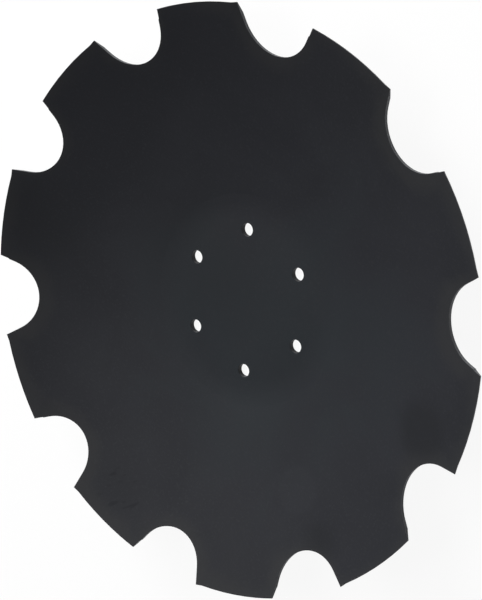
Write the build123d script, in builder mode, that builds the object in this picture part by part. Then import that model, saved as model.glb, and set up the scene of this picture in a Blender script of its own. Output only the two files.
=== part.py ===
from build123d import *
import os
from math import atan2, cos, degrees, hypot, pi, radians, sin, sqrt

# Notched disc blade of a harrow: one dished steel pressing, lying with its hollow side up.
# The origin is the middle of the bolt circle on the underside of the flat centre, +Z points
# up out of the hollow, and +X runs through a bolt hole and the middle of a notch.
# Lengths are in millimetres and angles in degrees.

# The dished sheet
disc_diameter = 610.0        # across the cutting edge
sheet_thickness = 6.0
dish_radius = 850.0          # of the hollow face, outside the flat centre
flat_diameter = 196.0        # where the flat centre and the dish would meet in a sharp crease
crease_radius = 200.0        # eases one into the other

# The bolt holes in the flat centre
bolt_count = 6
bolt_circle_diameter = 150.0
bolt_hole_diameter = 14.0
hole_edge_break = 0.2

# The notches, each an arc between two straight flanks
notch_count = 10
notch_radius = 41.3
notch_depth = 43.0           # from the cutting edge to the bottom of the arc
flank_angle = 25.0           # between a flank and the notch's own middle line
notch_rollover = 2.0         # how far the punch drew their edges in on the bulging side

# The cutting edge, bevelled by rollers on the bulging side
bevel_width = 14.0           # along the radius
edge_land = 1.5              # height of the flat left on the edge itself
step_setback = 4.0           # from the start of the bevel to where the rollers took hold
flank_step = 0.7             # how far they drew the metal along the rim from there on
step_run = 1.5               # length of the slope that joins it to the rest of the flank
burr_height = 1.2            # of the point that they pushed out at each tooth's other end
burr_length = 8.0

rim_radius = disc_diameter / 2
blank_radius = rim_radius + burr_height
bevel_start = rim_radius - bevel_width
bulge_radius = dish_radius + sheet_thickness
dish_centre = sheet_thickness + sqrt(dish_radius**2 - (flat_diameter / 2) ** 2)


def dish_point(radius, from_axis):
    """A point of the dish's section: on the sphere of that radius, so far from the disc's axis."""
    return (from_axis, dish_centre - sqrt(radius**2 - from_axis**2))


# The blank's section runs from the axis out to the tip of the burrs.
flat_edge = (flat_diameter / 2, sheet_thickness)
underside_edge = (sqrt(bulge_radius**2 - dish_centre**2), 0)
blank_top = dish_point(dish_radius, blank_radius)
blank_bottom = dish_point(bulge_radius, blank_radius)


def middle(start, end):
    """The distance from the axis that is halfway between two points of the section."""
    return (start[0] + end[0]) / 2


with BuildSketch(Plane.XZ) as section:
    with BuildLine():
        Line((0, 0), (0, sheet_thickness))
        Line((0, sheet_thickness), flat_edge)
        ThreePointArc(flat_edge, dish_point(dish_radius, middle(flat_edge, blank_top)), blank_top)
        Line(blank_top, blank_bottom)
        ThreePointArc(
            blank_bottom,
            dish_point(bulge_radius, middle(blank_bottom, underside_edge)),
            underside_edge,
        )
        Line(underside_edge, (0, 0))
    make_face()
    fillet(section.vertices().sort_by_distance(flat_edge)[0], crease_radius)
    fillet(
        section.vertices().sort_by_distance(underside_edge)[0], crease_radius + sheet_thickness
    )

# What the rollers take off the bulging side: a triangle under the bevel's slope
edge_top = dish_point(dish_radius, rim_radius)
bevel_foot = dish_point(bulge_radius, bevel_start)
bevel_slope = (edge_top[1] - edge_land - bevel_foot[1]) / bevel_width
roller_reach = blank_radius + sheet_thickness

with BuildSketch(Plane.XZ) as bevel:
    Polygon(
        bevel_foot,
        (roller_reach, bevel_foot[1]),
        (roller_reach, bevel_foot[1] + bevel_slope * (roller_reach - bevel_start)),
        align=None,
    )

# One notch, seen from above with its middle line along +X. A flank leaves the arc at its tangent
# point.
arc_centre = rim_radius - notch_depth + notch_radius
flank_rise = radians(flank_angle)
cutter_reach = blank_radius / cos(pi / notch_count)


def tangent_point(side):
    """Where the arc turns into the flank on the side of +Y (side 1) or -Y (side -1)."""
    return Vector(
        arc_centre - notch_radius * sin(flank_rise), side * notch_radius * cos(flank_rise)
    )


def flank_direction(side):
    return Vector(cos(flank_rise), side * sin(flank_rise))


def flank_point(side, from_axis):
    """Where a flank, drawn out, is so far from the disc's axis."""
    start, direction = tangent_point(side), flank_direction(side)
    along = start.dot(direction)
    return start + direction * (sqrt(along**2 - start.length**2 + from_axis**2) - along)


with BuildSketch() as notch:
    with BuildLine():
        Line(flank_point(1, cutter_reach), tangent_point(1))
        ThreePointArc(tangent_point(1), (arc_centre - notch_radius, 0), tangent_point(-1))
        Line(tangent_point(-1), flank_point(-1, cutter_reach))
        Line(flank_point(-1, cutter_reach), flank_point(1, cutter_reach))
    make_face()

# The step in the flank on the side of -Y: a strip of the tooth that starts with a short slope
into_tooth = Vector(-sin(flank_rise), -cos(flank_rise))
step_foot = flank_point(-1, bevel_start + step_setback)

with BuildSketch() as step:
    Polygon(
        step_foot,
        step_foot + flank_direction(-1) * step_run + into_tooth * flank_step,
        flank_point(-1, cutter_reach) + into_tooth * flank_step,
        flank_point(-1, cutter_reach),
        align=None,
    )

# The burr on the tooth beyond the other flank: a low triangle on the rim, which the notch cuts
# off at the tooth's corner
corner = flank_point(1, rim_radius)
corner_angle = degrees(atan2(corner.Y, corner.X))
burr_angle = degrees(burr_length / rim_radius)


def rim_point(from_axis, angle):
    return (from_axis * cos(radians(angle)), from_axis * sin(radians(angle)))


with BuildSketch() as burr:
    Polygon(
        rim_point(rim_radius, corner_angle - burr_angle),
        rim_point(blank_radius, corner_angle),
        rim_point(rim_radius, corner_angle + burr_angle),
        align=None,
    )

with BuildPart() as disc_blade:
    # The dished blank
    add(section.sketch)
    revolve(axis=Axis.Z)

    # The punched notches
    with BuildSketch(Plane.XY.offset(-sheet_thickness)):
        with PolarLocations(0, notch_count):
            add(notch.sketch)
    extrude(amount=blank_top[1] + 2 * sheet_thickness, mode=Mode.SUBTRACT)

    # The drawn-in edges, where the notches' walls meet the bulging face
    bulging_face = disc_blade.faces().filter_by(GeomType.SPHERE).sort_by(Axis.Z)[0]
    notch_walls = disc_blade.faces().filter_by(
        lambda face: abs(face.normal_at().Z) < 0.01
        and hypot(face.center().X, face.center().Y) < rim_radius
    )
    chamfer(bulging_face.edges() & notch_walls.edges(), notch_rollover)

    # The bevel
    add(bevel.sketch)
    revolve(axis=Axis.Z, mode=Mode.SUBTRACT)

    # The teeth's outline from above: the rim with the burrs, less the steps
    with BuildSketch(Plane.XY.offset(-sheet_thickness)):
        Circle(rim_radius)
        with PolarLocations(0, notch_count):
            add(burr.sketch)
        with PolarLocations(0, notch_count):
            add(step.sketch, mode=Mode.SUBTRACT)
    extrude(amount=blank_top[1] + 2 * sheet_thickness, mode=Mode.INTERSECT)

    # The bolt holes, with their edges broken on both faces
    with PolarLocations(bolt_circle_diameter / 2, bolt_count):
        Hole(bolt_hole_diameter / 2)
    hole_walls = disc_blade.faces().filter_by(GeomType.CYLINDER).filter_by(
        lambda face: abs(face.radius - bolt_hole_diameter / 2) < hole_edge_break
    )
    chamfer(hole_walls.edges().filter_by(GeomType.CIRCLE), hole_edge_break)

disc_blade.part.label = "disc_blade"

os.makedirs("parts", exist_ok=True)
export_step(disc_blade.part, "parts/disc_blade.step")
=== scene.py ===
from math import cos, pi, radians, sin

import bmesh
import bpy
from mathutils import Euler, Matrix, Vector

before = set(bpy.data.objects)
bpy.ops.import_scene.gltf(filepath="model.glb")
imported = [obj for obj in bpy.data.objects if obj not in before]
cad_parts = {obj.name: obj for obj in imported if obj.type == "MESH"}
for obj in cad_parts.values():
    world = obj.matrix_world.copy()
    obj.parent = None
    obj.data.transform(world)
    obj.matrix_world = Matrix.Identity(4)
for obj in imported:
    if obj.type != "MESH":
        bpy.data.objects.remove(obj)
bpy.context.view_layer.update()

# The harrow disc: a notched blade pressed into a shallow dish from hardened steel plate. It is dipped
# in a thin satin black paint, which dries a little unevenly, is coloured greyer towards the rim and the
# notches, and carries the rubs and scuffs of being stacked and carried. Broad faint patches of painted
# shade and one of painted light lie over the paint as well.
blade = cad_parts["disc_blade"]

paint = bpy.data.materials.new("satin_black_paint_on_plate")
paint.use_nodes = True
nodes, links = paint.node_tree.nodes, paint.node_tree.links
coat = nodes["Principled BSDF"]
coat.inputs["Specular IOR Level"].default_value = 0.15
place = nodes.new("ShaderNodeTexCoord").outputs["Object"]


def cloudiness(scale, detail=3.0, roughness=0.5, distortion=0.0, where=place):
    """Noise over the disc's own coordinates, with `scale` blotches to a metre."""
    noise = nodes.new("ShaderNodeTexNoise")
    noise.inputs["Scale"].default_value = scale
    noise.inputs["Detail"].default_value = detail
    noise.inputs["Roughness"].default_value = roughness
    noise.inputs["Distortion"].default_value = distortion
    links.new(where, noise.inputs["Vector"])
    return noise.outputs["Fac"]


def spread(value, low, high, from_low=0.35, from_high=0.65):
    """Turns one range of values into another, smoothly: to start with, a noise's middle range."""
    change = nodes.new("ShaderNodeMapRange")
    change.interpolation_type = "SMOOTHSTEP"
    change.inputs["From Min"].default_value = from_low
    change.inputs["From Max"].default_value = from_high
    change.inputs["To Min"].default_value = low
    change.inputs["To Max"].default_value = high
    links.new(value, change.inputs["Value"])
    return change.outputs["Result"]


def feed(node, inputs):
    """Gives a node's inputs, in their order, each a number, a vector or another node's output."""
    for socket, value in zip(node.inputs, inputs):
        if isinstance(value, bpy.types.NodeSocket):
            links.new(value, socket)
        else:
            socket.default_value = value


def reckon(operation, *inputs):
    step = nodes.new("ShaderNodeMath")
    step.operation = operation
    feed(step, inputs)
    return step.outputs["Value"]


def distance_in_plan(x=0.0, y=0.0):
    """How far a spot is, seen from above, from a point of the disc: to start with, its middle."""
    offset = nodes.new("ShaderNodeVectorMath")
    offset.operation = "SUBTRACT"
    feed(offset, (place, (x, y, 0.0)))
    flattened = nodes.new("ShaderNodeVectorMath")
    flattened.operation = "MULTIPLY"
    feed(flattened, (offset.outputs["Vector"], (1.0, 1.0, 0.0)))
    length = nodes.new("ShaderNodeVectorMath")
    length.operation = "LENGTH"
    feed(length, (flattened.outputs["Vector"],))
    return length.outputs["Value"]


def blend_colours(amount, one, other):
    mixer = nodes.new("ShaderNodeMix")
    mixer.data_type = "RGBA"
    links.new(amount, mixer.inputs["Factor"])
    for name, colour in (("A", one), ("B", other)):
        socket = [s for s in mixer.inputs if s.name == name and s.type == "RGBA"][0]
        if isinstance(colour, tuple):
            socket.default_value = (*colour, 1.0)
        else:
            links.new(colour, socket)
    return [s for s in mixer.outputs if s.type == "RGBA"][0]


# how far a spot is from the rim and from the arc of the nearest notch: the disc is folded up into one
# of its ten sectors, with the notch in the middle of it
notch_count, notch_radius, notch_centre, rim_radius = 10, 0.0413, 0.3033, 0.305
in_plan = nodes.new("ShaderNodeSeparateXYZ")
links.new(place, in_plan.inputs["Vector"])
from_axis = distance_in_plan()
half_sector = pi / notch_count
folded = reckon(
    "WRAP", reckon("ARCTAN2", in_plan.outputs["Y"], in_plan.outputs["X"]), half_sector, -half_sector
)
towards_notch = reckon("SUBTRACT", reckon("MULTIPLY", from_axis, reckon("COSINE", folded)), notch_centre)
beside_notch = reckon("MULTIPLY", from_axis, reckon("SINE", folded))
from_notch = reckon(
    "SUBTRACT",
    reckon(
        "SQRT",
        reckon("ADD", reckon("POWER", towards_notch, 2.0), reckon("POWER", beside_notch, 2.0)),
    ),
    notch_radius,
)
from_edge = reckon("MINIMUM", from_notch, reckon("SUBTRACT", rim_radius, from_axis))

# the paint's colour: cloudy, coloured paler and a shade greener towards the middle, and greyer within a
# finger's breadth of an edge
black, softer_black, speck = (0.0118, 0.0128, 0.0163), (0.0133, 0.0143, 0.0182), (0.026, 0.028, 0.032)
paler_middle_colour, greener_middle_colour = (0.0157, 0.0168, 0.0211), (0.0163, 0.0198, 0.0238)
edge_grey, edge_grey_share, edge_grey_width = (0.0236, 0.0240, 0.0247), 0.52, 0.020
middle_x, middle_y, blotchiness, edge_raggedness = -0.036, 0.020, 0.06, 0.15
clouds = blend_colours(
    spread(cloudiness(5.0, detail=4.0, distortion=0.4), 0.0, 1.0), black, softer_black
)
uneven = spread(
    cloudiness(7.0, detail=6.0, roughness=0.6, distortion=0.5), -blotchiness, blotchiness, 0.3, 0.7
)
from_middle = reckon("ADD", distance_in_plan(middle_x, middle_y), uneven)
paler = blend_colours(spread(from_middle, 1.0, 0.0, 0.12, 0.30), clouds, paler_middle_colour)
greener = blend_colours(spread(from_middle, 1.0, 0.0, 0.03, 0.22), paler, greener_middle_colour)
ragged_edge = reckon("ADD", from_edge, reckon("MULTIPLY", uneven, edge_raggedness))
at_the_edge = blend_colours(spread(ragged_edge, edge_grey_share, 0.0, 0.0, edge_grey_width), greener, edge_grey)
specks = blend_colours(spread(cloudiness(420.0, detail=2.0), 0.0, 0.3, 0.52, 0.72), at_the_edge, speck)


def rub_and_shade_patch(x, y, size, softness=0.7, raggedness=0.25):
    """How much a spot lies within a round patch of that radius; it marks out the rubs, the scuffed tooth
    and the patches of painted shade and painted light.
    """
    away = reckon("ADD", distance_in_plan(x, y), reckon("MULTIPLY", uneven, raggedness))
    return spread(away, 1.0, 0.0, size * (1 - softness), size)


# dull dark rubs, small ones near two of the teeth; broad faint patches of painted shade elsewhere; a
# small pale rub, and a broad patch of painted light
dark_rub_and_shade_colour, pale_rub_and_light_colour, dark_rub_and_shade_share, pale_rub_and_light_share = (0.007, 0.008, 0.010), (0.028, 0.031, 0.036), 0.5, 0.16
dark_rubs_and_shade = reckon("MAXIMUM", rub_and_shade_patch(-0.250, -0.045, 0.036), rub_and_shade_patch(-0.222, 0.128, 0.042))
# the four broad faint dark patches listed here are painted shade
for x, y, size, strength in (
    (0.262, 0.085, 0.100, 0.75),
    (-0.160, 0.222, 0.080, 0.35),
    (0.005, 0.262, 0.050, 0.40),
    (0.060, -0.018, 0.120, 0.62),
):
    faint_shade = reckon("MULTIPLY", rub_and_shade_patch(x, y, size, softness=1.0), strength)
    dark_rubs_and_shade = reckon("MAXIMUM", dark_rubs_and_shade, faint_shade)
# the second, broad pale patch is painted light; the first is a small pale rub
pale_rubs_and_light = reckon(
    "MAXIMUM",
    rub_and_shade_patch(-0.166, 0.115, 0.031, softness=0.3, raggedness=0.05),
    rub_and_shade_patch(-0.050, 0.066, 0.100, softness=1.0),
)
# the pale rub and the painted light are laid on first, then the dark rubs and the painted shade
rubbed_shaded_and_lit = blend_colours(reckon("MULTIPLY", pale_rubs_and_light, pale_rub_and_light_share), specks, pale_rub_and_light_colour)
rubbed_shaded_and_lit = blend_colours(reckon("MULTIPLY", dark_rubs_and_shade, dark_rub_and_shade_share), rubbed_shaded_and_lit, dark_rub_and_shade_colour)

# a few short scuffs, all the same way, where another blade's teeth knocked on one tooth
scuff_direction, scuff_length, scuff_spacing = radians(59), 0.024, 0.0075
scuffed_colour, scuffed_share = (0.004, 0.005, 0.008), 0.5
brushed = nodes.new("ShaderNodeMapping")
brushed.vector_type = "TEXTURE"
brushed.inputs["Rotation"].default_value = (0.0, 0.0, scuff_direction)
brushed.inputs["Scale"].default_value = (scuff_length, scuff_spacing, 1.0)
links.new(place, brushed.inputs["Vector"])
strokes = spread(cloudiness(1.0, detail=1.0, where=brushed.outputs["Vector"]), 0.0, 1.0, 0.60, 0.70)
scuffs = reckon("MULTIPLY", strokes, rub_and_shade_patch(-0.002, 0.266, 0.034, softness=0.5))
scuffed = blend_colours(reckon("MULTIPLY", scuffs, scuffed_share), rubbed_shaded_and_lit, scuffed_colour)

# the walls, picked out by how far they lean away from the disc's axis: a light grey in the notches and
# a darker grey in the bolt holes
hole_wall, notch_wall = (0.028, 0.029, 0.032), (0.085, 0.088, 0.094)
beyond_holes, before_notches = 0.10, 0.24
facing = nodes.new("ShaderNodeSeparateXYZ")
links.new(nodes.new("ShaderNodeNewGeometry").outputs["True Normal"], facing.inputs["Vector"])
on_wall = spread(reckon("ABSOLUTE", facing.outputs["Z"]), 1.0, 0.0, 0.1, 0.6)
walls = blend_colours(spread(from_axis, 0.0, 1.0, beyond_holes, before_notches), hole_wall, notch_wall)
links.new(blend_colours(on_wall, scuffed, walls), coat.inputs["Base Color"])

# how it shines, and the fine peel that the paint dries with
glossiest, dullest, peel_height = 0.47, 0.53, 0.0002
links.new(
    spread(cloudiness(9.0, detail=5.0, distortion=0.6), glossiest, dullest), coat.inputs["Roughness"]
)
peel = nodes.new("ShaderNodeBump")
peel.inputs["Distance"].default_value = peel_height
peel.inputs["Strength"].default_value = 0.25
links.new(cloudiness(260.0, detail=4.0), peel.inputs["Height"])
links.new(peel.outputs["Normal"], coat.inputs["Normal"])

for slot in blade.material_slots:
    slot.material = paint

# The studio: a round white floor that curves up into a low wall on all sides. What the camera sees of
# it is mostly plain white, and keeps the disc's soft shadow. It lies a hair below the disc's underside.
floor_radius, wall_height, sweep_radius, floor_drop = 9.0, 4.0, 2.0, 0.0002
sweep_steps, round_steps = 12, 96
floor_mesh = bmesh.new()
outline = [floor_mesh.verts.new((0, 0, 0)), floor_mesh.verts.new((floor_radius, 0, 0))]
for step in range(1, sweep_steps + 1):
    turn = radians(90 * step / sweep_steps)
    outline.append(
        floor_mesh.verts.new(
            (floor_radius + sweep_radius * sin(turn), 0, sweep_radius * (1 - cos(turn)))
        )
    )
outline.append(floor_mesh.verts.new((floor_radius + sweep_radius, 0, wall_height)))
edges = [floor_mesh.edges.new(pair) for pair in zip(outline, outline[1:])]
bmesh.ops.spin(
    floor_mesh,
    geom=outline + edges,
    cent=(0, 0, 0),
    axis=(0, 0, 1),
    angle=radians(360),
    steps=round_steps,
    use_merge=True,
)
bmesh.ops.remove_doubles(floor_mesh, verts=floor_mesh.verts, dist=1e-5)
bmesh.ops.translate(floor_mesh, verts=floor_mesh.verts, vec=(0, 0, -floor_drop))
bmesh.ops.recalc_face_normals(floor_mesh, faces=floor_mesh.faces)
floor_data = bpy.data.meshes.new("studio_floor")
floor_mesh.to_mesh(floor_data)
floor_mesh.free()
studio_floor = bpy.data.objects.new("studio_floor", floor_data)
bpy.context.scene.collection.objects.link(studio_floor)

# its white, which shines by itself for what looks at it straight or in a reflection, so that it is
# plain white there without more light on the disc; the rest of it is matt and takes the shadow
white = bpy.data.materials.new("white_backdrop")
white.use_nodes = True
nodes, links = white.node_tree.nodes, white.node_tree.links
nodes.remove(nodes["Principled BSDF"])
matt = nodes.new("ShaderNodeBsdfDiffuse")
matt.inputs["Color"].default_value = (0.95, 0.95, 0.95, 1.0)
glow = nodes.new("ShaderNodeEmission")
glow_share = 0.92
rays = nodes.new("ShaderNodeLightPath").outputs
seen_in_things = reckon("MAXIMUM", rays["Is Glossy Ray"], rays["Is Transmission Ray"])
seen = reckon("MAXIMUM", rays["Is Camera Ray"], seen_in_things)
both = nodes.new("ShaderNodeMixShader")
links.new(reckon("MULTIPLY", seen, glow_share), both.inputs["Fac"])
links.new(matt.outputs["BSDF"], both.inputs[1])
links.new(glow.outputs["Emission"], both.inputs[2])
links.new(both.outputs["Shader"], nodes["Material Output"].inputs["Surface"])
studio_floor.data.materials.append(white)
for face in studio_floor.data.polygons:
    face.use_smooth = True

# The light: an even grey sky, a large soft lamp that stands low beyond one side of the disc, and a
# weaker one high over it.
world = bpy.data.worlds.new("even_sky")
world.use_nodes = True
sky = world.node_tree.nodes["Background"]
sky.inputs["Color"].default_value = (1.0, 1.0, 1.0, 1.0)
sky.inputs["Strength"].default_value = 0.17
bpy.context.scene.world = world


def soft_lamp(name, round_from_x, height, distance, size, power):
    """A square lamp that stands so far round and up from the disc and faces its middle."""
    data = bpy.data.lights.new(name, "AREA")
    data.shape = "SQUARE"
    data.size = size
    data.energy = power
    lamp = bpy.data.objects.new(name, data)
    turn, rise = radians(round_from_x), radians(height)
    away = Vector((cos(turn) * cos(rise), sin(turn) * cos(rise), sin(rise)))
    lamp.location = away * distance
    lamp.rotation_euler = away.to_track_quat("Z", "Y").to_euler()
    bpy.context.scene.collection.objects.link(lamp)


soft_lamp("key_lamp", round_from_x=335, height=21, distance=3.0, size=2.0, power=160)
soft_lamp("top_lamp", round_from_x=12, height=62, distance=3.0, size=2.0, power=30)

# The camera, which looks down into the hollow and is turned almost on its side. Its shift brings
# the disc to the middle of the frame, as in the photograph.
camera_data = bpy.data.cameras.new("camera")
camera_data.sensor_width = 36
camera_data.lens = 96.71
camera_data.shift_y = 0.1008
camera = bpy.data.objects.new("camera", camera_data)
camera.location = (-0.65111, -0.80994, 1.32066)
camera.rotation_euler = Euler((radians(-14.066), radians(36.849), radians(-148.301)), "XYZ")
bpy.context.scene.collection.objects.link(camera)
bpy.context.scene.camera = camera
bpy.context.scene.view_settings.view_transform = "Standard"
